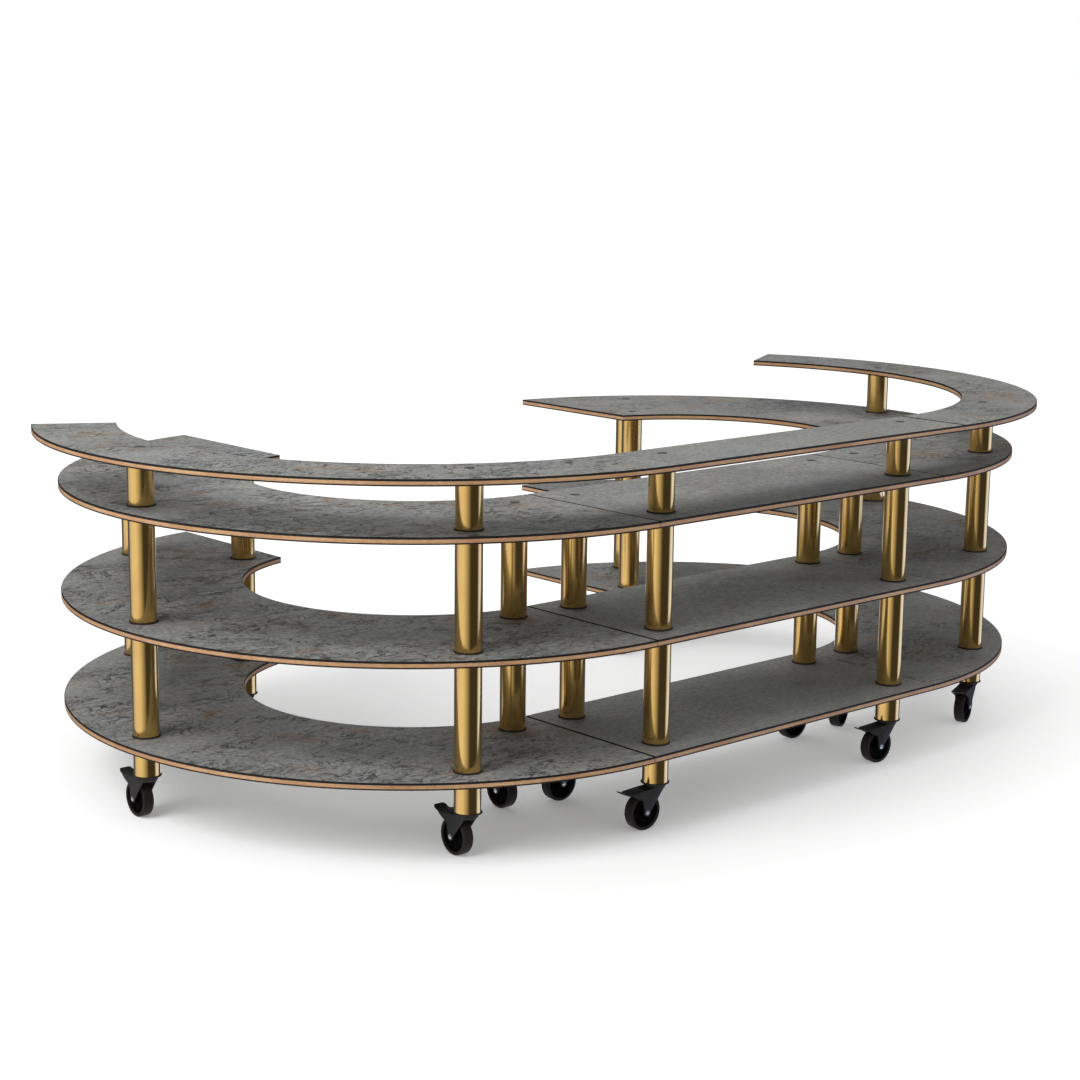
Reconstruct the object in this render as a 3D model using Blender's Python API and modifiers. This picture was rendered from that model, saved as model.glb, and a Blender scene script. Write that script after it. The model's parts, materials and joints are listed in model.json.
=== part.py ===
"""Buffet serving station: a straight module docked between two curved end modules.

Each module has deep laminate shelves and a narrow bar ledge, carried on brass posts that
stand on swivel casters. Metres, +Z up, the public side faces -Y and the open bay faces +Y.
The origin is on the floor, below the centre of the station's box.
"""
from math import asin, cos, pi, radians, sin, sqrt

import bmesh
import bpy
from mathutils import Matrix

OBJECT_NAME = "buffet_serving_station"

# Plan of the modules
OUTER_RADIUS = 1.055
INNER_RADIUS = 0.518
MIDDLE_LENGTH = 1.216
END_CUT = 0.143
SEAM_GAP = 0.0006

# Bar ledge: how far it hangs out past the shelves, its width, and its sweep on a curved module
LEDGE_OVERHANG = 0.071
LEDGE_WIDTH = 0.244
LEDGE_SWEEP = radians(120.0)

# Heights of the boards
BOTTOM_SHELF_TOP = 0.244
SHELF_SPACING = 0.328
LEDGE_RISE = 0.164
BOARD = 0.020

# Posts: brass spacer tubes with spigots that pass through the boards
POST_RADIUS = 0.0375
SPIGOT_RADIUS = 0.015
OUTER_POST_INSET = 0.098
INNER_POST_INSET = 0.092
LEDGE_POST_MARGIN = radians(30.0)
REAR_POST_MARGIN = radians(22.2)
SEAM_POST_OFFSET = 0.1185
END_POST_OFFSET = 0.103
MIDDLE_POST_INSET = 0.100

# Casters
WHEEL_RADIUS = 0.0535
WHEEL_WIDTH = 0.032
RIM_RADIUS = 0.044
RIM_RECESS = 0.008
HUB_RADIUS = 0.011
HUB_PROUD = 0.0047
TRAIL = 0.045
AXLE_RADIUS = 0.004
AXLE_END = 0.004
FORK_PLATE = 0.003
WHEEL_TO_CROWN = 0.004
CROWN_DEPTH = 0.017
CROWN_RADIUS = 0.030
SHOULDER_HALF = 0.017
SHOULDER_DROP = 0.009
FLANGE_LIP = 0.003
FLANGE_DEPTH = 0.004
FORK_BOSS = 0.0108
LEG_REAR = 0.016
LEG_TOP_RISE = 0.036
STEM_RADIUS = 0.0055
STEM_LENGTH = 0.040
FENDER_REACH = 0.055
FENDER_RISE = 0.0565
FENDER_TOP_RISE = 0.061
FENDER_MIDDLE = 0.036
FENDER_MIDDLE_RISE = 0.045

# Toe brake, measured from its pivot pin
BRAKE_PIN_RADIUS = 0.0025
BRAKE_PIVOT_BACK = 0.011
BRAKE_PIVOT_RISE = 0.0055
BRAKE_HEEL = 0.0055
BRAKE_TOP = 0.0055
BRAKE_BELLY = 0.0042
BRAKE_BEND = 0.052
BRAKE_TIP = 0.0725
BRAKE_TIP_RISE = 0.009
BRAKE_PLATE = 0.003
BRAKE_DIP = 0.005
BRAKE_SIDE_ROOM = 0.001
BRAKE_ROOM = 0.004

# Headings of the casters in each module: the way the wheels trail, from +X
LEFT_HEADING = radians(88.0)
MIDDLE_HEADING = radians(176.0)
RIGHT_HEADING = radians(200.0)

# Clearance between pieces that touch, and the fineness of round shapes
GAP = 0.0003
ARC_STEP = radians(5.0)
BOSS_STEP = radians(45.0)
POST_SIDES = 12
WHEEL_SIDES = 16
ROD_SIDES = 8
MERGE = 0.00001
PAST = 0.02

# Colours, roughness and metallic values
SLATE = ((0.15, 0.15, 0.155, 1.0), 0.55, 0.0)
BRASS = ((0.60, 0.43, 0.14, 1.0), 0.2, 1.0)
CHARCOAL = ((0.025, 0.025, 0.026, 1.0), 0.5, 0.3)
TYRE = ((0.020, 0.017, 0.016, 1.0), 0.75, 0.0)

# Sizes that follow from the driving dimensions
END_CENTRE_X = MIDDLE_LENGTH / 2 + SEAM_GAP
LEDGE_OUTER = OUTER_RADIUS + LEDGE_OVERHANG
LEDGE_INNER = LEDGE_OUTER - LEDGE_WIDTH
OUTER_POST_RING = OUTER_RADIUS - OUTER_POST_INSET
INNER_POST_RING = INNER_RADIUS + INNER_POST_INSET
CENTRE_Y = (LEDGE_OUTER - sqrt(OUTER_RADIUS**2 - END_CUT**2)) / 2
SHELF_TOPS = [BOTTOM_SHELF_TOP + level * SHELF_SPACING for level in range(3)]
LEDGE_TOP = SHELF_TOPS[-1] + LEDGE_RISE
HUB_WIDTH = WHEEL_WIDTH + 2 * HUB_PROUD
FORK_GAP = HUB_WIDTH + 2 * GAP
FORK_WIDTH = FORK_GAP + 2 * FORK_PLATE
TREAD_CORNER = WHEEL_RADIUS / cos(pi / WHEEL_SIDES)
CROWN_BOTTOM = WHEEL_RADIUS + TREAD_CORNER + WHEEL_TO_CROWN
CROWN_TOP = CROWN_BOTTOM + CROWN_DEPTH
FLANGE_RADIUS = POST_RADIUS + FLANGE_LIP
POST_FOOT = CROWN_TOP + FLANGE_DEPTH + GAP
BRAKE_PIVOT_U = TRAIL + BRAKE_PIVOT_BACK
BRAKE_PIVOT_Z = WHEEL_RADIUS + TREAD_CORNER + BRAKE_PIVOT_RISE


def clear_scene():
    for obj in list(bpy.data.objects):
        bpy.data.objects.remove(obj, do_unlink=True)


def make_collection(name):
    collection = bpy.data.collections.new(name)
    bpy.context.scene.collection.children.link(collection)
    return collection


def make_material(name, look):
    colour, roughness, metallic = look
    material = bpy.data.materials.new(name)
    material.use_nodes = True
    shader = material.node_tree.nodes["Principled BSDF"]
    shader.inputs["Base Color"].default_value = colour
    shader.inputs["Roughness"].default_value = roughness
    shader.inputs["Metallic"].default_value = metallic
    return material


def bore_radius(shaft_radius, sides):
    """Corner radius of a faceted hole that clears a round shaft all the way round."""
    return (shaft_radius + GAP) / cos(pi / sides)


def finished_mesh(obj, name):
    """The evaluated mesh of a helper object, with its caps welded; the helper is removed."""
    bpy.context.view_layer.update()
    evaluated = obj.evaluated_get(bpy.context.evaluated_depsgraph_get())
    mesh = bpy.data.meshes.new_from_object(evaluated)
    mesh.name = name
    bpy.data.objects.remove(obj, do_unlink=True)
    shape = bmesh.new()
    shape.from_mesh(mesh)
    bmesh.ops.remove_doubles(shape, verts=shape.verts, dist=MERGE)
    shape.to_mesh(mesh)
    shape.free()
    return mesh


def add_object(mesh, name, collection, material=None, location=(0, 0, 0), turn=0.0, parent=None):
    obj = bpy.data.objects.new(name, mesh)
    collection.objects.link(obj)
    obj.location = location
    obj.rotation_euler = (0, 0, turn)
    obj.parent = parent
    if material and not mesh.materials:
        mesh.materials.append(material)
    return obj


def outline_mesh(points, thickness, name, collection):
    """A flat closed outline in the XY plane, extruded evenly about it."""
    curve = bpy.data.curves.new(name, "CURVE")
    curve.dimensions = "2D"
    curve.fill_mode = "BOTH"
    curve.extrude = thickness / 2
    spline = curve.splines.new("POLY")
    spline.points.add(len(points) - 1)
    for point, (x, y) in zip(spline.points, points):
        point.co = (x, y, 0, 1)
    spline.use_cyclic_u = True
    obj = bpy.data.objects.new(name, curve)
    collection.objects.link(obj)
    return finished_mesh(obj, name)


def turned_mesh(profile, sides, name, collection):
    """A profile of (radius, height) points, listed top to bottom, turned about Z."""
    mesh = bpy.data.meshes.new(name)
    edges = [(i, i + 1) for i in range(len(profile) - 1)]
    mesh.from_pydata([(radius, 0, height) for radius, height in profile], edges, [])
    obj = bpy.data.objects.new(name, mesh)
    collection.objects.link(obj)
    screw = obj.modifiers.new("Turn", "SCREW")
    screw.axis = "Z"
    screw.angle = 2 * pi
    screw.steps = sides
    screw.render_steps = sides
    screw.use_merge_vertices = True
    screw.merge_threshold = MERGE
    turned = finished_mesh(obj, name)
    turned.shade_smooth()
    turned.set_sharp_from_angle(angle=radians(35))
    return turned


def box_mesh(low, high, name):
    """A box between two corners."""
    size = [b - a for a, b in zip(low, high)]
    middle = [(a + b) / 2 for a, b in zip(low, high)]
    shape = bmesh.new()
    bmesh.ops.create_cube(shape, size=1.0, matrix=Matrix.Translation(middle) @ Matrix.Diagonal((*size, 1)))
    mesh = bpy.data.meshes.new(name)
    shape.to_mesh(mesh)
    shape.free()
    return mesh


def rod_mesh(rods, name, sides):
    """Closed cylinders given as (matrix of the middle, radius, length), along each matrix's Z."""
    shape = bmesh.new()
    for matrix, radius, length in rods:
        bmesh.ops.create_cone(
            shape, cap_ends=True, segments=sides, radius1=radius, radius2=radius, depth=length, matrix=matrix)
    mesh = bpy.data.meshes.new(name)
    shape.to_mesh(mesh)
    shape.free()
    return mesh


def add_cutter(mesh, cutters):
    cutter = add_object(mesh, mesh.name, cutters)
    cutter.hide_render = True
    cutter.display_type = "WIRE"
    return cutter


def boolean(obj, other, operation):
    modifier = obj.modifiers.new(operation.title(), "BOOLEAN")
    modifier.operation = operation
    modifier.object = other


def arc_points(centre, radius, start, end, step):
    """Points on an arc; angles run anticlockwise from +X."""
    count = max(2, round(abs(end - start) / step))
    angles = [start + (end - start) * i / count for i in range(count + 1)]
    return [(centre[0] + radius * cos(a), centre[1] + radius * sin(a)) for a in angles]


# Boards

def curved_outline(side, inner, outer, inner_sweep, outer_sweep):
    """A ring sector that starts at the seam, on -Y, and sweeps round one end of the station."""
    outer_arc = arc_points((0, 0), outer, -pi / 2, outer_sweep - pi / 2, ARC_STEP)
    inner_arc = arc_points((0, 0), inner, -pi / 2, inner_sweep - pi / 2, ARC_STEP)
    return [(side * (END_CENTRE_X + x), CENTRE_Y + y) for x, y in outer_arc + inner_arc[::-1]]


def shelf_sweep(radius):
    """Angle at which the far end's cut, parallel to the seam, meets a radius."""
    return pi - asin(END_CUT / radius)


def straight_outline(inner, outer):
    half = MIDDLE_LENGTH / 2
    near, far = CENTRE_Y - outer, CENTRE_Y - inner
    return [(-half, near), (half, near), (half, far), (-half, far)]


def board_outlines(side):
    """Outlines of a module's shelf and of its ledge."""
    if side == 0:
        return (straight_outline(INNER_RADIUS, OUTER_RADIUS), straight_outline(LEDGE_INNER, LEDGE_OUTER))
    inner_sweep, outer_sweep = shelf_sweep(INNER_RADIUS), shelf_sweep(OUTER_RADIUS)
    shelf = curved_outline(side, INNER_RADIUS, OUTER_RADIUS, inner_sweep, outer_sweep)
    return shelf, curved_outline(side, LEDGE_INNER, LEDGE_OUTER, LEDGE_SWEEP, LEDGE_SWEEP)


def add_boards(module, side, post_places, parts, cutters, material):
    radius = bore_radius(SPIGOT_RADIUS, ROD_SIDES)
    length = LEDGE_TOP + PAST
    rods = [(Matrix.Translation((x, y, length / 2)), radius, length + PAST) for x, y in post_places]
    cutter = add_cutter(rod_mesh(rods, f"{module}_spigot_holes", ROD_SIDES), cutters)
    shelf_outline, ledge_outline = board_outlines(side)
    levels = [("bottom_shelf", SHELF_TOPS[0]), ("lower_shelf", SHELF_TOPS[1]), ("counter", SHELF_TOPS[2])]
    boards = [(name, top, shelf_outline) for name, top in levels]
    boards.append(("ledge", LEDGE_TOP, ledge_outline))
    for name, top, outline in boards:
        mesh = outline_mesh(outline, BOARD, f"{module}_{name}", parts)
        board = add_object(mesh, f"{module}_{name}", parts, material, (0, 0, top - BOARD / 2))
        boolean(board, cutter, "DIFFERENCE")


# Posts

def post_profile(tops):
    """Spacer tubes between the boards whose top faces are listed, joined by spigots."""
    profile = [(0, tops[-1]), (SPIGOT_RADIUS, tops[-1])]
    for level in range(len(tops) - 1, -1, -1):
        under = tops[level] - BOARD - GAP
        foot = tops[level - 1] + GAP if level else POST_FOOT
        profile += [(SPIGOT_RADIUS, under), (POST_RADIUS, under), (POST_RADIUS, foot)]
        if level:
            profile.append((SPIGOT_RADIUS, foot))
    bore = bore_radius(STEM_RADIUS, POST_SIDES)
    bore_top = POST_FOOT + STEM_LENGTH + GAP
    return profile + [(bore, POST_FOOT), (bore, bore_top), (0, bore_top)]


def ring_place(side, radius, angle):
    """A place round one end of the station, by its angle from the seam."""
    return side * (END_CENTRE_X + radius * sin(angle)), CENTRE_Y - radius * cos(angle)


def post_places(side):
    """Name, place and whether the post carries the ledge, for each post of a module."""
    if side == 0:
        x = MIDDLE_LENGTH / 2 - MIDDLE_POST_INSET
        rows = [("outer", OUTER_POST_RING, True), ("inner", INNER_POST_RING, False)]
        return [(f"{row}_{end}", (sign * x, CENTRE_Y - ring), tall)
                for row, ring, tall in rows for end, sign in (("left", -1), ("right", 1))]
    outer_angles = [
        ("front", LEDGE_POST_MARGIN, True),
        ("side", LEDGE_SWEEP - LEDGE_POST_MARGIN, True),
        ("rear", shelf_sweep(OUTER_RADIUS) - REAR_POST_MARGIN, False),
    ]
    inner_angles = [
        ("inner_front", asin(SEAM_POST_OFFSET / INNER_POST_RING)),
        ("inner_rear", pi - asin((END_CUT + END_POST_OFFSET) / INNER_POST_RING)),
    ]
    places = [(name, ring_place(side, OUTER_POST_RING, angle), tall) for name, angle, tall in outer_angles]
    return places + [(name, ring_place(side, INNER_POST_RING, angle), False) for name, angle in inner_angles]


# Casters, in their own frame: the swivel axis is Z, the wheel trails towards +X

def along_y(x, y, z):
    """Matrix of a rod that lies along Y, with a flat side down."""
    return Matrix.Translation((x, y, z)) @ Matrix.Rotation(pi / 2, 4, "X")


def fork_outline():
    """Side view of the fork: straight front edge, axle boss, leg and the fender behind."""
    boss = arc_points((TRAIL, WHEEL_RADIUS), FORK_BOSS, -pi, 0, BOSS_STEP)
    shoulder = CROWN_TOP - SHOULDER_DROP
    fender_end = TRAIL + FENDER_REACH
    rear = [
        (TRAIL + LEG_REAR, WHEEL_RADIUS + LEG_TOP_RISE),
        (TRAIL + FENDER_MIDDLE, WHEEL_RADIUS + FENDER_MIDDLE_RISE),
        (fender_end, WHEEL_RADIUS + FENDER_RISE),
        (fender_end, WHEEL_RADIUS + FENDER_TOP_RISE),
        (SHOULDER_HALF, shoulder),
    ]
    return [(-SHOULDER_HALF, shoulder)] + boss + rear


def fork_mesh(parts, cutters):
    """Fork with its flange, stem, axle and brake pin, as one piece."""
    plate = outline_mesh(fork_outline(), FORK_WIDTH, "fork_plates", parts)
    plate.transform(Matrix.Rotation(pi / 2, 4, "X"))
    fork = add_object(plate, "fork_blank", parts)
    half = FORK_GAP / 2
    fender_end = TRAIL + FENDER_REACH
    wheel_slot = box_mesh(
        (-SHOULDER_HALF - PAST, -half, 0), (fender_end + PAST, half, CROWN_BOTTOM), "wheel_slot")
    brake_start = BRAKE_PIVOT_U - BRAKE_HEEL - BRAKE_ROOM
    brake_slot = box_mesh(
        (brake_start, -half, WHEEL_RADIUS), (fender_end + PAST, half, CROWN_TOP + PAST), "brake_slot")
    stem_top = CROWN_TOP + FLANGE_DEPTH + STEM_LENGTH
    stem = turned_mesh(
        [(0, stem_top), (STEM_RADIUS, stem_top), (STEM_RADIUS, CROWN_TOP + FLANGE_DEPTH),
         (FLANGE_RADIUS, CROWN_TOP + FLANGE_DEPTH), (FLANGE_RADIUS, CROWN_TOP), (CROWN_RADIUS, CROWN_TOP),
         (CROWN_RADIUS, CROWN_BOTTOM + FORK_PLATE), (0, CROWN_BOTTOM + FORK_PLATE)],
        POST_SIDES, "stem_and_crown", parts)
    axle = rod_mesh(
        [(along_y(TRAIL, 0, WHEEL_RADIUS), AXLE_RADIUS, FORK_WIDTH + 2 * AXLE_END)], "axle", ROD_SIDES)
    pin = rod_mesh(
        [(along_y(BRAKE_PIVOT_U, 0, BRAKE_PIVOT_Z), BRAKE_PIN_RADIUS, FORK_GAP + FORK_PLATE)],
        "brake_pin", ROD_SIDES)
    for mesh, operation in (
            (wheel_slot, "DIFFERENCE"), (brake_slot, "DIFFERENCE"), (stem, "UNION"),
            (axle, "UNION"), (pin, "UNION")):
        boolean(fork, add_cutter(mesh, cutters), operation)
    return finished_mesh(fork, "caster_fork")


def wheel_mesh(parts):
    """Tyre and recessed hub, turned about the axle, with a flat of the tread on the floor."""
    half, hub = WHEEL_WIDTH / 2, HUB_WIDTH / 2
    bore = bore_radius(AXLE_RADIUS, WHEEL_SIDES)
    upper = [(HUB_RADIUS, hub), (RIM_RADIUS, half - RIM_RECESS), (RIM_RADIUS, half), (TREAD_CORNER, half)]
    lower = [(radius, -height) for radius, height in reversed(upper)]
    profile = [(bore, hub)] + upper + lower + [(bore, -hub), (bore, hub)]
    mesh = turned_mesh(profile, WHEEL_SIDES, "caster_wheel", parts)
    mesh.transform(Matrix.Rotation(pi / 2, 4, "X") @ Matrix.Rotation(pi / 2 + pi / WHEEL_SIDES, 4, "Z"))
    return mesh


def brake_outline():
    """Side view of the toe brake about its pin: heel, top, curled tip and belly."""
    top_end = BRAKE_TOP - BRAKE_DIP
    return [
        (-BRAKE_HEEL, -BRAKE_BELLY), (-BRAKE_HEEL, BRAKE_TOP),
        (BRAKE_BEND, top_end), (BRAKE_TIP, BRAKE_TIP_RISE),
        (BRAKE_TIP + BRAKE_PLATE / 2, BRAKE_TIP_RISE - BRAKE_PLATE),
        (BRAKE_BEND + BRAKE_PLATE, top_end - BRAKE_PLATE),
        (BRAKE_BEND - BRAKE_TIP_RISE, -BRAKE_BELLY),
    ]


def brake_mesh(parts, cutters):
    mesh = outline_mesh(brake_outline(), FORK_GAP - 2 * BRAKE_SIDE_ROOM, "brake_lever", parts)
    mesh.transform(Matrix.Rotation(pi / 2, 4, "X"))
    lever = add_object(mesh, "brake_blank", parts)
    radius = bore_radius(BRAKE_PIN_RADIUS, ROD_SIDES)
    bore = rod_mesh([(along_y(0, 0, 0), radius, FORK_WIDTH)], "brake_bore", ROD_SIDES)
    boolean(lever, add_cutter(bore, cutters), "DIFFERENCE")
    return finished_mesh(lever, "caster_brake")


def add_caster(name, place, heading, braked, meshes, parts, materials):
    """A fork on its swivel axis, with the wheel and the brake on the fork."""
    fork = add_object(meshes["fork"], f"{name}_fork", parts, materials["charcoal"], (*place, 0), heading)
    axle = (TRAIL, 0, WHEEL_RADIUS)
    add_object(meshes["wheel"], f"{name}_wheel", parts, materials["tyre"], axle, 0.0, fork)
    if braked:
        pivot = (BRAKE_PIVOT_U, 0, BRAKE_PIVOT_Z)
        add_object(meshes["brake"], f"{name}_brake", parts, materials["charcoal"], pivot, 0.0, fork)


def main():
    clear_scene()
    parts = make_collection(OBJECT_NAME)
    cutters = make_collection("cutters")
    materials = {
        "slate": make_material("slate_board", SLATE),
        "brass": make_material("brass_post", BRASS),
        "charcoal": make_material("charcoal_metal", CHARCOAL),
        "tyre": make_material("tyre", TYRE),
    }
    meshes = {
        "tall": turned_mesh(post_profile(SHELF_TOPS + [LEDGE_TOP]), POST_SIDES, "tall_post", parts),
        "short": turned_mesh(post_profile(SHELF_TOPS), POST_SIDES, "short_post", parts),
        "fork": fork_mesh(parts, cutters),
        "wheel": wheel_mesh(parts),
        "brake": brake_mesh(parts, cutters),
    }
    modules = [("left", -1, LEFT_HEADING), ("middle", 0, MIDDLE_HEADING), ("right", 1, RIGHT_HEADING)]
    for module, side, heading in modules:
        posts = post_places(side)
        add_boards(module, side, [place for _, place, _ in posts], parts, cutters, materials["slate"])
        for name, place, tall in posts:
            mesh = meshes["tall" if tall else "short"]
            add_object(mesh, f"{module}_{name}_post", parts, materials["brass"], (*place, 0))
            add_caster(f"{module}_{name}", place, heading, tall, meshes, parts, materials)
    bpy.context.view_layer.update()


if __name__ == "__main__":
    main()
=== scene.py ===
"""Dresses the buffet serving station: slate boards with plywood edges, brass tubes and casters."""
import json
from math import acos, asin, atan2, cos, pi, radians, sin, sqrt

import bmesh
import bpy
from bpy.props import FloatProperty, FloatVectorProperty, IntProperty, PointerProperty
from mathutils import Matrix, Vector


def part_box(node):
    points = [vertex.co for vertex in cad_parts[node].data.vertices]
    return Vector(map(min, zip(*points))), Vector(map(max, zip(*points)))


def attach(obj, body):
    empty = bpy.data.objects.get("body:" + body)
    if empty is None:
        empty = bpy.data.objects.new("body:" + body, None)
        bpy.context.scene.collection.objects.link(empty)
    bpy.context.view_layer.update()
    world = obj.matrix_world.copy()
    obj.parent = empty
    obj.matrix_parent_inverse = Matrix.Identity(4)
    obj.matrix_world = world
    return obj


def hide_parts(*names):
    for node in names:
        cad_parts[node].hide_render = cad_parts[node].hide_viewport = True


bl_info = {
    "name": "Buffet serving station",
    "version": (1, 0, 0),
    "blender": (4, 5, 0),
    "location": "View3D > Sidebar > Station",
    "description": "Boards, brass posts and casters of a docked serving counter",
    "category": "Object",
}

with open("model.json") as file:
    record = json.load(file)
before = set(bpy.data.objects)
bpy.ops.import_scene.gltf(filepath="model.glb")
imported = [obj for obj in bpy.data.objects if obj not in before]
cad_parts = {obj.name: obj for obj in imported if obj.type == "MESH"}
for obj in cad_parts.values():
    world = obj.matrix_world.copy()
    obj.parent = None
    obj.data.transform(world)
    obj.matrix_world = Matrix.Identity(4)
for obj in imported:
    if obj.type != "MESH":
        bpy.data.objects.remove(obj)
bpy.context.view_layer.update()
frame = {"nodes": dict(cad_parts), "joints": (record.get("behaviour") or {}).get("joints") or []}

STATION = "station"
MERGE = 0.00001  # points nearer than this are one
SMOOTH_ANGLE = radians(32.0)
BOARD_SMOOTH_ANGLE = radians(12.0)

# Boards of each module, from the floor up, and the sides the modules stand on
BOARDS = ("bottom_shelf", "lower_shelf", "counter", "ledge")
MODULES = {"left": -1, "middle": 0, "right": 1}

# How far the top bands stop short of the seams left and right of the middle module; 0 is closed
SEAM_GROOVES = {"bottom_shelf": (0.0028, 0.0), "lower_shelf": (0.0028, 0.0),
                "counter": (0.0016, 0.0010), "ledge": (0.0, 0.0040)}

# How strongly the laminate of each module is riven
RIVEN = {"left": 1.0, "middle": 0.18, "right": 0.8}

# Fineness of round shapes
ARC_STATIONS = 110
TUBE_SIDES = 64
WHEEL_SIDES = 72
BOLT_SIDES = 24
TIP_STATIONS = 7
BOSS_STEPS = 16
ROUND_STEPS = 6


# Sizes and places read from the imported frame

def joint_place(name):
    return Vector(next(joint["pos_m"] for joint in frame["joints"] if joint["name"] == name))


COUNTER_LOW, COUNTER_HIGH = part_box("right_counter")
MIDDLE_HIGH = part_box("middle_counter")[1]
MIDDLE_HALF = MIDDLE_HIGH.x
LEDGE_LOW, LEDGE_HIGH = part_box("middle_ledge")
END_X = COUNTER_LOW.x
OUTER_RADIUS = round(COUNTER_HIGH.x - COUNTER_LOW.x, 3)
CENTRE_Y = COUNTER_LOW.y + OUTER_RADIUS
INNER_RADIUS = CENTRE_Y - MIDDLE_HIGH.y
END_CUT = sqrt(OUTER_RADIUS**2 - (COUNTER_HIGH.y - CENTRE_Y) ** 2)
LEDGE_OUTER = CENTRE_Y - LEDGE_LOW.y
LEDGE_INNER = CENTRE_Y - LEDGE_HIGH.y
LEDGE_SWEEP = acos((CENTRE_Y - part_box("right_ledge")[1].y) / LEDGE_OUTER)
CASTERS = [joint["name"].removesuffix("_swivel") for joint in frame["joints"]
           if joint["name"].endswith("_swivel")]
BRAKED = [name for name in CASTERS if f"{name}_brake" in frame["nodes"]]
SAMPLE_SWIVEL = joint_place(f"{BRAKED[0]}_swivel")
SAMPLE_AXLE = joint_place(f"{BRAKED[0]}_wheel_spin")
SAMPLE_PIVOT = joint_place(f"{BRAKED[0]}_brake_press")
TRAIL = (SAMPLE_AXLE - SAMPLE_SWIVEL).xy.length
WHEEL_RADIUS = SAMPLE_AXLE.z
CROWN_TOP = SAMPLE_SWIVEL.z
PIVOT = ((SAMPLE_PIVOT - SAMPLE_SWIVEL).xy.length, SAMPLE_PIVOT.z)
POST_LOW, POST_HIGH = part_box(f"{BRAKED[0]}_post")
POST_FOOT = POST_LOW.z
POST_RADIUS = (POST_HIGH.x - POST_LOW.x) / 2


def size(name, default, description):
    return FloatProperty(name=name, default=default, description=description, unit="LENGTH",
                         precision=4, min=0.0)


def colour(name, default, description):
    return FloatVectorProperty(name=name, default=default, description=description,
                               subtype="COLOR", size=4, min=0.0, max=1.0)


class BoardFinish(bpy.types.PropertyGroup):
    """Sizes and colours of the laminate boards."""
    top_round: size("Top round", 0.0020, "Rounding of the edge over the top face")
    lower_round: size("Lower round", 0.0008, "Rounding of the edge under the bottom face")
    top_band: size("Top band", 0.0058, "Depth of the dark band at the top of the edge")
    lower_band: size("Lower band", 0.0042, "Depth of the dark band at the bottom of the edge")
    seam_relief: size("Seam relief", 0.0005, "How far the rest of each board stops short of a seam")
    slate: colour("Slate", (0.225, 0.226, 0.219, 1.0), "Middle tone of the laminate")
    # Cleft colour, also used for the painted shade in the deep layers and at the foot of the
    # terrace steps
    slate_dark: colour("Slate dark", (0.034, 0.033, 0.030, 1.0), "Tone of the clefts")
    slate_pale: colour("Slate pale", (0.311, 0.312, 0.302, 1.0), "Tone of the worn high spots")
    rust: colour("Rust", (0.275, 0.168, 0.095, 1.0), "Brown mineral tint")
    # Fleck colour, also used for the painted highlight on the terrace crests
    fleck_and_crest_light: colour("Fleck", (0.480, 0.480, 0.465, 1.0), "Pale mineral flecks")
    band: colour("Band", (0.011, 0.010, 0.010, 1.0), "Edge of the laminate")
    ply: colour("Plywood", (0.390, 0.206, 0.096, 1.0), "Plywood core")
    ply_dark: colour("Plywood dark", (0.330, 0.160, 0.075, 1.0), "Dark veneers and ticks")
    ply_pale: colour("Plywood pale", (0.515, 0.318, 0.165, 1.0), "Pale veneers of the core")


class PostFinish(bpy.types.PropertyGroup):
    """Sizes and colours of the brass tubes, their gaskets and caps."""
    wall: size("Wall", 0.002, "Thickness of the tube's wall")
    chamfer: size("Chamfer", 0.0008, "Chamfer at the ends of a tube")
    gasket_height: size("Gasket height", 0.0045, "Height of the ring under each tube")
    gasket_lip: size("Gasket lip", 0.0024, "How far the ring stands out past the tube")
    cap_radius: size("Cap radius", 0.0150, "Radius of the tie rod's cap")
    cap_height: size("Cap height", 0.0010, "How far the cap stands above a board")
    brass: colour("Brass", (0.780, 0.490, 0.105, 1.0), "Polished brass")
    gasket: colour("Gasket", (0.026, 0.016, 0.011, 1.0), "Dark rubber")
    cap: colour("Cap", (0.075, 0.075, 0.072, 1.0), "Slate-grey cap")


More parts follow.
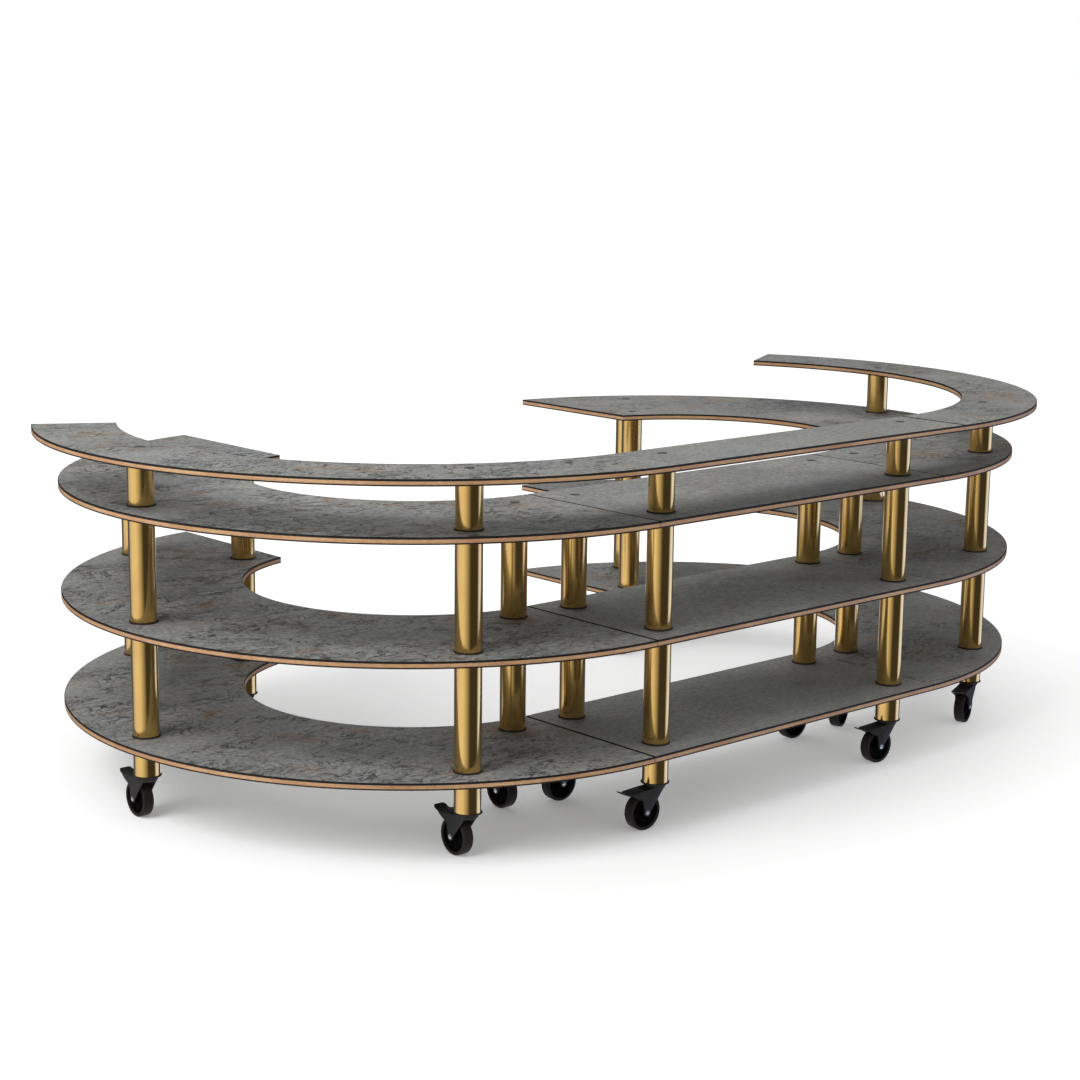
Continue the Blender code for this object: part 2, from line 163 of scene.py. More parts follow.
class CasterFinish(bpy.types.PropertyGroup):
    """Sizes and colours of the casters."""
    tyre_width: size("Tyre width", 0.032, "Width of the tread")
    tyre_round: size("Tyre round", 0.0040, "Rounding of the tyre's shoulders")
    rim_radius: size("Rim radius", 0.044, "Where the tyre meets the hub")
    rim_recess: size("Rim recess", 0.0080, "How deep the hub sits in the tyre")
    hub_radius: size("Hub radius", 0.0110, "Radius of the hub's boss")
    hub_width: size("Hub width", 0.0414, "Length of the hub's boss")
    spoke_count: IntProperty(name="Spokes", default=6, min=3,
                             description="Ribs on each side of the hub")
    spoke_thickness: size("Spoke thickness", 0.0036, "Thickness of a rib")
    spoke_rise: size("Spoke rise", 0.0010, "How far a rib stands out of the hub's face")
    plate: size("Plate", 0.0030, "Thickness of the fork's cheeks")
    fork_gap: size("Fork gap", 0.0420, "Room between the fork's cheeks")
    crown_depth: size("Crown depth", 0.0170, "Depth of the crown over the wheel")
    crown_radius: size("Crown radius", 0.0300, "Radius of the round crown")
    shoulder_half: size("Shoulder half", 0.0170, "Half of the cheek's length at the crown")
    shoulder_drop: size("Shoulder drop", 0.0090, "How far the cheek starts under the flange")
    flange_radius: size("Flange radius", 0.0405, "Radius of the disc under the post")
    flange_depth: size("Flange depth", 0.0040, "Thickness of the disc under the post")
    boss: size("Boss", 0.0108, "Radius of the leg's end")
    leg_rear: size("Leg rear", 0.0160, "Rear of the leg's top, behind the axle")
    leg_rise: size("Leg rise", 0.0360, "Height of the leg's top over the axle")
    fender_middle: size("Fender middle", 0.0360, "Where the fender's lower edge bends")
    fender_middle_rise: size("Fender middle rise", 0.0450, "Height of that bend over the axle")
    fender_reach: size("Fender reach", 0.0550, "Reach of the cheeks behind the axle")
    fender_rise: size("Fender rise", 0.0565, "Height of the fender's end over the axle")
    fender_top: size("Fender top", 0.0610, "Height of the fender's top over the axle")
    corner: size("Corner", 0.0050, "Rounding of the pressed outline")
    bolt_radius: size("Bolt radius", 0.0066, "Radius of the axle bolt's washer")
    bolt_depth: size("Bolt depth", 0.0038, "Depth of the axle bolt's head")
    coat: colour("Coat", (0.033, 0.032, 0.031, 1.0), "Charcoal powder coat")
    tyre: colour("Tyre", (0.022, 0.015, 0.013, 1.0), "Brown-black rubber")
    hub: colour("Hub", (0.003, 0.003, 0.003, 1.0), "Black moulded hub")
    zinc: colour("Zinc", (0.720, 0.715, 0.700, 1.0), "Plated bolt")


class BrakeFinish(bpy.types.PropertyGroup):
    """Sizes of the toe brake, measured from its pin."""
    width: size("Width", 0.040, "Width of the lever")
    heel: size("Heel", 0.0055, "Reach in front of the pin")
    top: size("Top", 0.0055, "Height of the lever's back over the pin")
    belly: size("Belly", 0.0042, "Depth of the lever under the pin")
    dip: size("Dip", 0.0050, "Fall of the lever's back towards the bend")
    bend: size("Bend", 0.0520, "Where the tip turns up")
    tip: size("Tip", 0.0725, "Reach of the tip")
    tip_rise: size("Tip rise", 0.0090, "Height of the tip over the pin")
    sheet: size("Sheet", 0.0030, "Thickness of the pressed sheet")
    tip_round: size("Tip round", 0.0130, "Rounding of the tip's corners, seen from above")


class StageLook(bpy.types.PropertyGroup):
    """Camera, light and floor."""
    camera_place: FloatVectorProperty(
        name="Camera place", default=(-4.709, -5.092, 1.979), subtype="TRANSLATION",
        description="Where the camera stands")
    camera_target: FloatVectorProperty(
        name="Camera target", default=(-0.092, 0.0404, 0.6228), subtype="TRANSLATION",
        description="What the camera looks at")
    camera_roll: FloatProperty(
        name="Camera roll", default=radians(0.693), subtype="ANGLE",
        description="Tilt of the camera about its line of sight")
    lens: FloatProperty(
        name="Lens", default=73.1, unit="CAMERA",
        description="Focal length in millimetres on a 36 mm sensor")
    dome: FloatProperty(
        name="Dome", default=0.68, subtype="FACTOR", min=0.0, max=1.0,
        description="Strength of the surrounding light, where 1 is white")
    key: FloatProperty(
        name="Key", default=430.0, unit="POWER",
        description="Power of the soft lamp on the left, in watts")
    floor: colour("Floor", (0.92, 0.92, 0.92, 1.0), "Floor under the station")
    # Painted light on the floor: glow that the camera sees near the station, least where its shadow
    # lies
    painted_light_near: FloatProperty(
        name="Floor lift", default=0.18, subtype="FACTOR", min=0.0, max=1.0,
        description="Brightness that the camera adds near the station")
    # Painted light on the floor: glow that the camera sees far from the station
    painted_light_far: FloatProperty(
        name="Horizon lift", default=0.45, subtype="FACTOR", min=0.0, max=1.0,
        description="Brightness that the camera adds far away")


FINISHES = {"board_finish": BoardFinish, "post_finish": PostFinish,
            "caster_finish": CasterFinish, "brake_finish": BrakeFinish, "stage_look": StageLook}


# Node helpers

# Sockets of a colour Mix node: factor, first colour, second colour, and the result
MIX_FACTOR, MIX_LOW, MIX_HIGH, MIX_RESULT = 0, 6, 7, 2


class Tree:
    """A node tree with short ways to add and join nodes."""

    def __init__(self, tree):
        self.tree = tree

    def feed(self, node, inputs):
        """Links sockets to a node's inputs and sets the others to plain values."""
        for key, value in inputs.items():
            if isinstance(value, bpy.types.NodeSocket):
                self.tree.links.new(value, node.inputs[key])
            else:
                node.inputs[key].default_value = value

    def add(self, kind, inputs=None, **settings):
        node = self.tree.nodes.new(kind)
        for key, value in settings.items():
            setattr(node, key, value)
        self.feed(node, inputs or {})
        return node

    def place(self):
        """Where a point lies in the station's frame."""
        return self.add("ShaderNodeTexCoord").outputs["Object"]

    def vector_math(self, operation, first, second):
        return self.add("ShaderNodeVectorMath", {0: first, 1: second}, operation=operation).outputs

    def stretched(self, vector, scale, turn=0.0):
        """A vector turned about Z and scaled."""
        inputs = {"Vector": vector, "Scale": scale, "Rotation": (0.0, 0.0, turn)}
        return self.add("ShaderNodeMapping", inputs).outputs[0]

    def mix(self, factor, low, high, blend="MIX"):
        inputs = {MIX_FACTOR: factor, MIX_LOW: low, MIX_HIGH: high}
        node = self.add("ShaderNodeMix", inputs, data_type="RGBA", blend_type=blend)
        return node.outputs[MIX_RESULT]

    def math(self, operation, first, second=0.0, clamp=False):
        inputs = {0: first, 1: second}
        return self.add("ShaderNodeMath", inputs, operation=operation, use_clamp=clamp).outputs[0]

    def times(self, first, second, clamp=False):
        return self.math("MULTIPLY", first, second, clamp)

    def span(self, value, low, high, to_low=0.0, to_high=1.0):
        inputs = {"Value": value, "From Min": low, "From Max": high,
                  "To Min": to_low, "To Max": to_high}
        return self.add("ShaderNodeMapRange", inputs).outputs[0]

    def noise(self, vector, scale, detail=4.0, roughness=0.55, distortion=0.0):
        inputs = {"Vector": vector, "Scale": scale, "Detail": detail, "Roughness": roughness,
                  "Distortion": distortion}
        return self.add("ShaderNodeTexNoise", inputs).outputs[0]

    def field(self, vector, noise, band, *ends):
        """Noise, with one band of its values spread from 0 to 1 or between the given ends."""
        return self.span(self.noise(vector, *noise), *band, *ends)


def shader_group(name, inputs, outputs):
    """An empty shader node group with named float inputs and typed outputs."""
    group = bpy.data.node_groups.new(name, "ShaderNodeTree")
    for label, default in inputs:
        socket = group.interface.new_socket(
            name=label, in_out="INPUT", socket_type="NodeSocketFloat")
        socket.default_value = default
    for label, kind in outputs:
        group.interface.new_socket(name=label, in_out="OUTPUT", socket_type=kind)
    tree = Tree(group)
    return tree, tree.add("NodeGroupInput"), tree.add("NodeGroupOutput")


def new_material(name):
    """A material, its tree and its Principled shader."""
    material = bpy.data.materials.new(name)
    material.use_nodes = True
    tree = Tree(material.node_tree)
    return material, tree, tree.tree.nodes["Principled BSDF"]


def bump(tree, shader, height, strength, distance):
    inputs = {"Height": height, "Strength": strength, "Distance": distance}
    tree.feed(shader, {"Normal": tree.add("ShaderNodeBump", inputs).outputs["Normal"]})


# Coated and moulded finishes

# Spread of the tone, range of roughness, grains per metre, metallic and specular level
SPECKLED = {
    "laminate_edge": (0.35, (0.50, 0.65), 400.0, 0.0, 0.25),
    "gasket_rubber": (0.30, (0.50, 0.65), 400.0, 0.0, 0.50),
    "cap_grey": (0.30, (0.45, 0.60), 400.0, 0.0, 0.50),
    "powder_coat": (0.18, (0.46, 0.58), 900.0, 0.0, 0.10),
    "brake_coat": (0.18, (0.44, 0.56), 900.0, 0.0, 0.10),
    "zinc_bolt": (0.10, (0.22, 0.34), 600.0, 1.0, 0.50),
    "tyre_rubber": (0.25, (0.62, 0.78), 700.0, 0.0, 0.20),
    "hub_moulding": (0.25, (0.50, 0.66), 500.0, 0.0, 0.02),
}

# Noise detail and share of the grains and of the blotches, the band of values used, and the bump
GRAIN_DETAIL, GRAIN_SHARE = 2.0, 0.45
BLOTCH_DETAIL, BLOTCH_SHARE = 5.0, 0.55
SPECKLE_BAND = (0.3, 0.7)
SPECKLE_BUMP = (0.25, 0.0001)


def speckle_group():
    """Fine grains and slow blotches, as a value round 0.5 and as a height."""
    name = "speckle"
    if name in bpy.data.node_groups:
        return bpy.data.node_groups[name]
    tree, given, out = shader_group(
        name, [("Grain", 400.0), ("Blotch", 12.0)],
        [("Value", "NodeSocketFloat"), ("Height", "NodeSocketFloat")])
    place = tree.place()
    grain = tree.noise(place, given.outputs["Grain"], GRAIN_DETAIL)
    blotch = tree.noise(place, given.outputs["Blotch"], BLOTCH_DETAIL)
    both = tree.math("ADD", tree.times(grain, GRAIN_SHARE), tree.times(blotch, BLOTCH_SHARE))
    tree.feed(out, {"Value": both, "Height": grain})
    return tree.tree


def speckled_material(name, base):
    """A coated or moulded finish whose tone and gloss vary a little over the surface."""
    spread, roughness, grain, metallic, specular = SPECKLED[name]
    material, tree, shader = new_material(name)
    speckle = tree.add("ShaderNodeGroup", node_tree=speckle_group())
    tree.feed(speckle, {"Grain": grain})
    value = speckle.outputs["Value"]
    dark, pale = ([min(1.0, channel * share) for channel in base[:3]] + [1.0]
                  for share in (1 - spread, 1 + spread))
    tree.feed(shader, {
        "Base Color": tree.mix(tree.span(value, *SPECKLE_BAND), dark, pale),
        "Roughness": tree.span(value, *SPECKLE_BAND, *roughness),
        "Metallic": metallic,
        "Specular IOR Level": specular,
    })
    bump(tree, shader, speckle.outputs["Height"], *SPECKLE_BUMP)
    return material


# Slate

# The laminate's layers run aslant over the station
LAYER_SCALE = (0.75, 1.25, 1.0)
LAYER_TURN = radians(24.0)
FLAT = (1.0, 1.0, 0.0)

# Noise, as scale per metre, detail, roughness and distortion
SLATE_LAYERS = (5.0, 6.0, 0.60, 0.8)
SLATE_CRACKS = (11.0, 5.0, 0.58, 1.1)
SLATE_GRAIN = (66.0, 8.0, 0.88)

# Noise with the band of its values that is used
SLATE_CLOUDS = ((2.2, 6.0, 0.62, 0.5), (0.34, 0.68))
SLATE_PATCHES = ((3.1, 5.0, 0.60, 0.6), (0.41, 0.56))
SLATE_BREAKS = ((10.0, 5.0, 0.62), (0.46, 0.55))
SLATE_CHIPS = ((34.0, 7.0, 0.70, 0.6), (0.56, 0.63))
SLATE_FLECKS = ((95.0, 3.0, 0.60), (0.64, 0.72))
SLATE_STAINS = ((4.6, 8.0, 0.74, 0.6), (0.55, 0.66))
SLATE_HUES = ((5.5, 5.0, 0.60, 0.4), (0.38, 0.62))

# Terraces cut from the layers: how many, the painted shade at the foot of each step and the painted
# highlight on the crest of each
TERRACES = 5.0
STEP_SHADE_BAND = (0.0, 0.24)
CREST_LIGHT_BAND = (0.80, 1.0)

# Hairline cracks follow the middle value of their noise
NOISE_MIDDLE = 0.5
HAIR_BAND = (0.005, 0.022)

# Deep layers get painted shade; chips lie mostly among the clefts and thinly all over
HOLLOW_SHADE_BAND = (0.34, 0.52)
HOLLOW_SHADE_SHARE = 0.24
CHIPS_IN_CLEFTS = 0.75
CHIPS_ALL_OVER = 0.13

# How much of each effect shows
STAIN_SHARE = 0.85
CHIP_SHARE = 0.75
# Share of the painted highlight on the terrace crests
CREST_LIGHT_SHARE = 0.35
# Share of the dark hairline cracks and of the painted shade at the terrace steps
VEIN_AND_STEP_SHADE_SHARE = 0.92
FLECK_SHARE = 0.45
OVERLAY_SHARE = 0.62
OVERLAY_BAND = (0.34, 0.66)
WARM_CAST = (1.02, 1.0, 0.95, 1.0)
COOL_CAST = (0.97, 1.0, 1.01, 1.0)
SLATE_GLOSS_BAND = (0.35, 0.65)
SLATE_ROUGHNESS = (0.50, 0.66)
GRAIN_HEIGHT = 0.8
SLATE_BUMP = (0.5, 0.0009)


def slate_material(look):
    """Slate-look laminate: clouded greys, riven clefts, rust tints, flecks and fine grain, with
    painted shade in the deep layers and at the foot of each terrace step, and painted highlights on
    the terrace crests.
    """
    material, tree, shader = new_material("slate_laminate")
    shift = tree.add("ShaderNodeAttribute", attribute_name="grain_shift").outputs["Vector"]
    riven = tree.add("ShaderNodeAttribute", attribute_name="riven").outputs["Fac"]
    level = tree.vector_math("MULTIPLY", tree.place(), FLAT)[0]
    place = tree.vector_math("ADD", level, shift)[0]
    lengthwise = tree.stretched(place, LAYER_SCALE, LAYER_TURN)

    where = tree.times(tree.field(place, *SLATE_PATCHES), riven)
    layers = tree.noise(lengthwise, *SLATE_LAYERS)
    terraces = tree.math("FRACT", tree.times(layers, TERRACES))
    # Painted shade at the foot of each terrace step, which also draws the dark cleft lines
    steps = tree.span(terraces, *STEP_SHADE_BAND, 1.0, 0.0)
    # Painted highlight on the crest of each terrace
    crest_light = tree.span(terraces, *CREST_LIGHT_BAND)
    broken = tree.field(place, *SLATE_BREAKS)
    cracks = tree.math("SUBTRACT", tree.noise(lengthwise, *SLATE_CRACKS), NOISE_MIDDLE)
    hairs = tree.span(tree.math("ABSOLUTE", cracks), *HAIR_BAND, 1.0, 0.0)
    # Dark hairline cracks, plus the painted step shade where it is not broken off
    veins_and_step_shade = tree.math("MAXIMUM", tree.times(steps, broken), hairs)
    veins_and_step_shade = tree.times(veins_and_step_shade, where, clamp=True)
    chipped = tree.math("ADD", tree.times(where, CHIPS_IN_CLEFTS), CHIPS_ALL_OVER)
    chips = tree.times(tree.field(lengthwise, *SLATE_CHIPS), chipped, clamp=True)
    # Painted highlight on the crests where they are not broken off
    painted_crest_light = tree.times(tree.times(crest_light, broken), where)
    flecks = tree.field(place, *SLATE_FLECKS)
    grain = tree.noise(place, *SLATE_GRAIN)

    tone = tree.mix(tree.field(place, *SLATE_CLOUDS), look.slate, look.slate_pale)
    # Painted shade in the deep layers of the riven face
    painted_hollow_shade = tree.times(tree.span(layers, *HOLLOW_SHADE_BAND, HOLLOW_SHADE_SHARE, 0.0), where)
    tone = tree.mix(painted_hollow_shade, tone, look.slate_dark)
    stains = tree.field(place, *SLATE_STAINS, 0.0, STAIN_SHARE)
    tone = tree.mix(tree.times(stains, riven), tone, look.rust)
    # Chips and flecks are the slate's own colour; the crest mark is a painted highlight, and the
    # vein mark includes painted step shade
    for mask, share, paint in ((chips, CHIP_SHARE, look.slate_dark),
                               (painted_crest_light, CREST_LIGHT_SHARE, look.fleck_and_crest_light),
                               (veins_and_step_shade, VEIN_AND_STEP_SHADE_SHARE, look.slate_dark),
                               (flecks, FLECK_SHARE, look.fleck_and_crest_light)):
        tone = tree.mix(tree.times(mask, share), tone, paint)
    tone = tree.mix(OVERLAY_SHARE, tone, tree.span(grain, *OVERLAY_BAND), "OVERLAY")
    cast = tree.mix(tree.field(place, *SLATE_HUES), WARM_CAST, COOL_CAST)
    tone = tree.mix(1.0, tone, cast, "MULTIPLY")
    tree.feed(shader, {
        "Base Color": tone,
        "Roughness": tree.span(grain, *SLATE_GLOSS_BAND, *SLATE_ROUGHNESS),
    })
    cut = tree.math("ADD", veins_and_step_shade, chips)
    height = tree.math("SUBTRACT", tree.times(grain, GRAIN_HEIGHT), cut)
    bump(tree, shader, height, *SLATE_BUMP)
    return material


# Plywood

# Veneers are bands over the height; fibres and ticks run along the board
VENEER_WAVE = {"Scale": 42.0, "Distortion": 0.6, "Detail": 2.0, "Detail Scale": 0.6}
VENEER_BAND = (0.25, 0.75)
VENEER_SHARE = 0.22
ALONG_SCALE = (1.0, 1.0, 0.2)
PLY_TONES = ((5.0, 3.0), (0.38, 0.62))
PLY_TICKS = ((85.0, 4.0, 0.7), (0.54, 0.66))
TICK_SHARE = 0.30
FIBRE_SCALE = (1.0, 1.0, 6.0)
FIBRES_PER_METRE = 70.0
FIBRE_BAND = (0.3, 0.7)
FIBRE_SHARE = 0.30
PLY_ROUGHNESS = (0.42, 0.58)
PLY_BUMP = (0.2, 0.0003)


def ply_material(look):
    """Plywood edge: thin veneers on edge, with slow changes of tone along the board."""
    material, tree, shader = new_material("plywood_edge")
    place = tree.place()
    wave = tree.add("ShaderNodeTexWave", {"Vector": place, **VENEER_WAVE}, bands_direction="Z")
    along = tree.stretched(place, ALONG_SCALE)
    fibres = tree.noise(tree.stretched(place, FIBRE_SCALE), FIBRES_PER_METRE)
    tone = tree.mix(tree.field(along, *PLY_TONES), look.ply, look.ply_pale)
    veneers = tree.times(tree.span(wave.outputs["Fac"], *VENEER_BAND), VENEER_SHARE)
    tone = tree.mix(veneers, tone, look.ply_dark)
    tone = tree.mix(FIBRE_SHARE, tone, tree.span(fibres, *FIBRE_BAND), "SOFT_LIGHT")
    ticks = tree.field(along, *PLY_TICKS, 0.0, TICK_SHARE)
    tree.feed(shader, {
        "Base Color": tree.mix(ticks, tone, look.ply_dark),
        "Roughness": tree.span(fibres, *FIBRE_BAND, *PLY_ROUGHNESS),
    })
    bump(tree, shader, fibres, *PLY_BUMP)
    return material


# Brass

# Drawn lines run up the tubes; tarnish comes in slow patches
DRAWN_SCALE = (1.0, 1.0, 0.01)
DRAWN_PER_METRE = 900.0
DRAWN_BAND = (0.3, 0.7)
DRAWN_ROUGHNESS = (0.13, 0.18)
DRAWN_BUMP = (0.03, 0.0001)
TARNISH = (9.0, 5.0)
TARNISH_BAND = (0.40, 0.75)
TARNISH_CAST = (0.92, 0.86, 0.78)
TARNISH_GLOSS_BAND = (0.4, 0.7)
TARNISH_ROUGHNESS = (0.0, 0.04)
LACQUER = {"Metallic": 1.0, "Coat Weight": 1.0, "Coat IOR": 1.8, "Coat Roughness": 0.06}


def brass_material(look):
    """Lacquered brass with faint drawn lines along the tube and a slow tarnish."""
    material, tree, shader = new_material("polished_brass")
    place = tree.place()
    drawn = tree.noise(tree.stretched(place, DRAWN_SCALE), DRAWN_PER_METRE)
    tarnish = tree.noise(place, *TARNISH)
    warm = [channel * cast for channel, cast in zip(look.brass, TARNISH_CAST)] + [1.0]
    lines = tree.span(drawn, *DRAWN_BAND, *DRAWN_ROUGHNESS)
    dull = tree.span(tarnish, *TARNISH_GLOSS_BAND, *TARNISH_ROUGHNESS)
    tree.feed(shader, {
        "Base Color": tree.mix(tree.span(tarnish, *TARNISH_BAND), look.brass, warm),
        "Roughness": tree.math("ADD", lines, dull),
        **LACQUER,
    })
    bump(tree, shader, drawn, *DRAWN_BUMP)
    return material


# Mesh helpers

# Bevels have this many segments; a rounded corner takes at most this share of a side
BEVEL_SEGMENTS = 2
CORNER_STEPS = 4
CORNER_SHARE = 0.45
STILL = Matrix.Identity(4)


def turned(profile, sides):
    """A bmesh of (radius, height) points spun about Z."""
    shape = bmesh.new()
    verts = [shape.verts.new((radius, 0.0, height)) for radius, height in profile]
    edges = [shape.edges.new(pair) for pair in zip(verts, verts[1:])]
    bmesh.ops.spin(shape, geom=verts + edges, axis=(0, 0, 1), cent=(0, 0, 0), angle=2 * pi,
                   steps=sides)
    bmesh.ops.remove_doubles(shape, verts=shape.verts, dist=MERGE)
    bmesh.ops.recalc_face_normals(shape, faces=shape.faces)
    return shape


def plate(points, low, high, bevel):
    """A bmesh of a flat outline in the XZ plane, from low to high along Y, with eased edges."""
    shape = bmesh.new()
    near = [shape.verts.new((u, low, z)) for u, z in points]
    far = [shape.verts.new((u, high, z)) for u, z in points]
    shape.faces.new(near)
    shape.faces.new(far[::-1])
    for i in range(len(points)):
        shape.faces.new((near[i - 1], far[i - 1], far[i], near[i]))
    bmesh.ops.recalc_face_normals(shape, faces=shape.faces)
    rims = [edge for edge in shape.edges if len({round(v.co.y, 6) for v in edge.verts}) == 1]
    bmesh.ops.bevel(shape, geom=rims, offset=bevel, segments=BEVEL_SEGMENTS, affect="EDGES",
                    profile=0.5)
    return shape


def fillet(points, radius):
    """The outline with each corner rounded."""
    rounded = []
    for i, corner in enumerate(points):
        here = Vector(corner)
        before = Vector(points[i - 1]) - here
        after = Vector(points[(i + 1) % len(points)]) - here
        start = here + before.normalized() * min(radius, before.length * CORNER_SHARE)
        end = here + after.normalized() * min(radius, after.length * CORNER_SHARE)
        for step in range(CORNER_STEPS + 1):
            t = step / CORNER_STEPS
            rounded.append(start * (1 - t) ** 2 + here * (2 * t * (1 - t)) + end * t**2)
    return [tuple(point) for point in rounded]


def finished_mesh(name, shape, materials=()):
    """A mesh with its materials from a bmesh, which is freed."""
    mesh = bpy.data.meshes.new(name)
    shape.to_mesh(mesh)
    shape.free()
    for material in materials:
        mesh.materials.append(material)
    return mesh


def joined_mesh(name, shapes, materials):
    """One mesh from (bmesh, material index, matrix) parts, which are freed."""
    whole = bmesh.new()
    for shape, index, matrix in shapes:
        for face in shape.faces:
            face.material_index = index
        bmesh.ops.transform(shape, matrix=matrix, verts=shape.verts)
        part = finished_mesh("part", shape)
        whole.from_mesh(part)
        bpy.data.meshes.remove(part)
    mesh = finished_mesh(name, whole, materials)
    mesh.shade_smooth()
    mesh.set_sharp_from_angle(angle=SMOOTH_ANGLE)
    return mesh


def shown(name, data):
    """A new object in the scene."""
    obj = bpy.data.objects.new(name, data)
    bpy.context.scene.collection.objects.link(obj)
    return obj


def add_piece(name, mesh, body, replaced=()):
    """Shows a finished mesh as a piece of the object that rides on a body."""
    piece = shown(name, mesh)
    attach(piece, body)
    if replaced:
        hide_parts(*replaced)


def add_copy(template, name, matrix, body, replaced=()):
    """Shows a copy of a template mesh as a piece, with its place in its mesh."""
    mesh = template.copy()
    mesh.name = name
    mesh.transform(matrix)
    add_piece(name, mesh, body, replaced)


def along_y(x, y, z):
    """Turns a shape spun about Z to lie along Y at a place."""
    return Matrix.Translation((x, y, z)) @ Matrix.Rotation(-pi / 2, 4, "X")


def caster_matrix(name):
    """Places a caster modelled at the origin, trailing towards +X, under its post."""
    swivel, axle = joint_place(f"{name}_swivel"), joint_place(f"{name}_wheel_spin")
    heading = atan2(axle.y - swivel.y, axle.x - swivel.x)
    return Matrix.Translation((swivel.x, swivel.y, 0.0)) @ Matrix.Rotation(heading, 4, "Z")


# Geometry node trees

# Rounding of a gasket's section, and its steps
GASKET_EASE = 0.0006
GASKET_EASE_STEPS = 2

# A cap's disc by its height, and the button on it by its radius, as shares of the cap
DISC_SHARE = 0.6
BUTTON_SHARE = 0.72


def geometry_tree(name, floats, integers=()):
    """A geometry node group with a geometry input and output, named sizes and a material."""
    group = bpy.data.node_groups.new(name, "GeometryNodeTree")
    sockets = [("Geometry", "INPUT", "Geometry")]
    sockets += [(label, "INPUT", "Float") for label in floats]
    sockets += [(label, "INPUT", "Int") for label in integers]
    sockets += [("Material", "INPUT", "Material"), ("Geometry", "OUTPUT", "Geometry")]
    for label, way, kind in sockets:
        group.interface.new_socket(name=label, in_out=way, socket_type=f"NodeSocket{kind}")
    tree = Tree(group)
    return tree, tree.add("NodeGroupInput"), tree.add("NodeGroupOutput")


def close_tree(tree, given, out, instances):
    """Ends a tree: real meshes, one material."""
    real = tree.add("GeometryNodeRealizeInstances", {"Geometry": instances})
    painted = tree.add("GeometryNodeSetMaterial", {
        "Geometry": real.outputs[0], "Material": given.outputs["Material"]})
    tree.feed(out, {"Geometry": painted.outputs[0]})
    return tree.tree


def gasket_tree():
    """A flat ring at each point."""
    tree, given, out = geometry_tree("gasket_rings", ("Radius", "Lip", "Height"))
    path = tree.add("GeometryNodeCurvePrimitiveCircle", {
        "Resolution": TUBE_SIDES, "Radius": given.outputs["Radius"]})
    section = tree.add("GeometryNodeCurvePrimitiveQuadrilateral", {
        "Width": tree.times(given.outputs["Lip"], 2.0), "Height": given.outputs["Height"]})
    eased = tree.add("GeometryNodeFilletCurve", {
        "Curve": section.outputs[0], "Radius": GASKET_EASE, "Count": GASKET_EASE_STEPS},
        mode="POLY")
    ring = tree.add("GeometryNodeCurveToMesh", {
        "Curve": path.outputs[0], "Profile Curve": eased.outputs[0]})
    smooth = tree.add("GeometryNodeSetShadeSmooth", {
        "Geometry": ring.outputs[0], "Shade Smooth": True})
    rings = tree.add("GeometryNodeInstanceOnPoints", {
        "Points": given.outputs["Geometry"], "Instance": smooth.outputs[0]})
    return close_tree(tree, given, out, rings.outputs[0])


def cap_tree():
    """A flat disc with a raised button at each point."""
    tree, given, out = geometry_tree("tie_rod_caps", ("Radius", "Height"))
    radius, height = given.outputs["Radius"], given.outputs["Height"]
    disc = tree.add("GeometryNodeMeshCylinder", {
        "Vertices": TUBE_SIDES, "Radius": radius, "Depth": tree.times(height, DISC_SHARE)})
    drop = tree.add("ShaderNodeCombineXYZ", {"Z": tree.times(height, (DISC_SHARE - 1) / 2)})
    seated = tree.add("GeometryNodeTransform", {
        "Geometry": disc.outputs["Mesh"], "Translation": drop.outputs[0]})
    button = tree.add("GeometryNodeMeshCylinder", {
        "Vertices": TUBE_SIDES, "Radius": tree.times(radius, BUTTON_SHARE), "Depth": height})
    cap = tree.add("GeometryNodeJoinGeometry")
    for part in (seated.outputs[0], button.outputs["Mesh"]):
        tree.feed(cap, {0: part})
    caps = tree.add("GeometryNodeInstanceOnPoints", {
        "Points": given.outputs["Geometry"], "Instance": cap.outputs[0]})
    return close_tree(tree, given, out, caps.outputs[0])


def spoke_tree():
    """Ribs that run out from the hub, evenly round the axle, which lies along Z."""
    tree, given, out = geometry_tree(
        "hub_spokes", ("Inner", "Outer", "Thickness", "Depth"), ("Count",))
    inner, outer = given.outputs["Inner"], given.outputs["Outer"]
    extent = tree.add("ShaderNodeCombineXYZ", {
        "X": tree.math("SUBTRACT", outer, inner), "Y": given.outputs["Thickness"],
        "Z": given.outputs["Depth"]})
    rib = tree.add("GeometryNodeMeshCube", {"Size": extent.outputs[0]})
    middle = tree.math("DIVIDE", tree.math("ADD", outer, inner), 2.0)
    ring = tree.add("GeometryNodeMeshCircle", {
        "Vertices": given.outputs["Count"], "Radius": middle})
    where = tree.add("GeometryNodeInputPosition").outputs[0]
    turn = tree.add("FunctionNodeAlignRotationToVector", {"Vector": where}, axis="X",
                    pivot_axis="Z")
    ribs = tree.add("GeometryNodeInstanceOnPoints", {
        "Points": ring.outputs[0], "Instance": rib.outputs["Mesh"], "Rotation": turn.outputs[0]})
    return close_tree(tree, given, out, ribs.outputs[0])


def grown_mesh(name, group, points, values):
    """The plain mesh that a geometry node group makes on the given points."""
    mesh = bpy.data.meshes.new(name)
    mesh.from_pydata(points, [], [])
    holder = shown(name, mesh)
    modifier = holder.modifiers.new(name, "NODES")
    modifier.node_group = group
    for item in group.interface.items_tree:
        if item.in_out == "INPUT" and item.name in values:
            modifier[item.identifier] = values[item.name]
    bpy.context.view_layer.update()
    evaluated = holder.evaluated_get(bpy.context.evaluated_depsgraph_get())
    grown = bpy.data.meshes.new_from_object(evaluated)
    holder.modifiers.remove(modifier)
    bpy.data.objects.remove(holder, do_unlink=True)
    return grown


# Boards

# Where each module's and each level's slate is cut from the endless pattern
MODULE_SHIFT = (1.9, -0.6)
LEVEL_SHIFT = 0.02


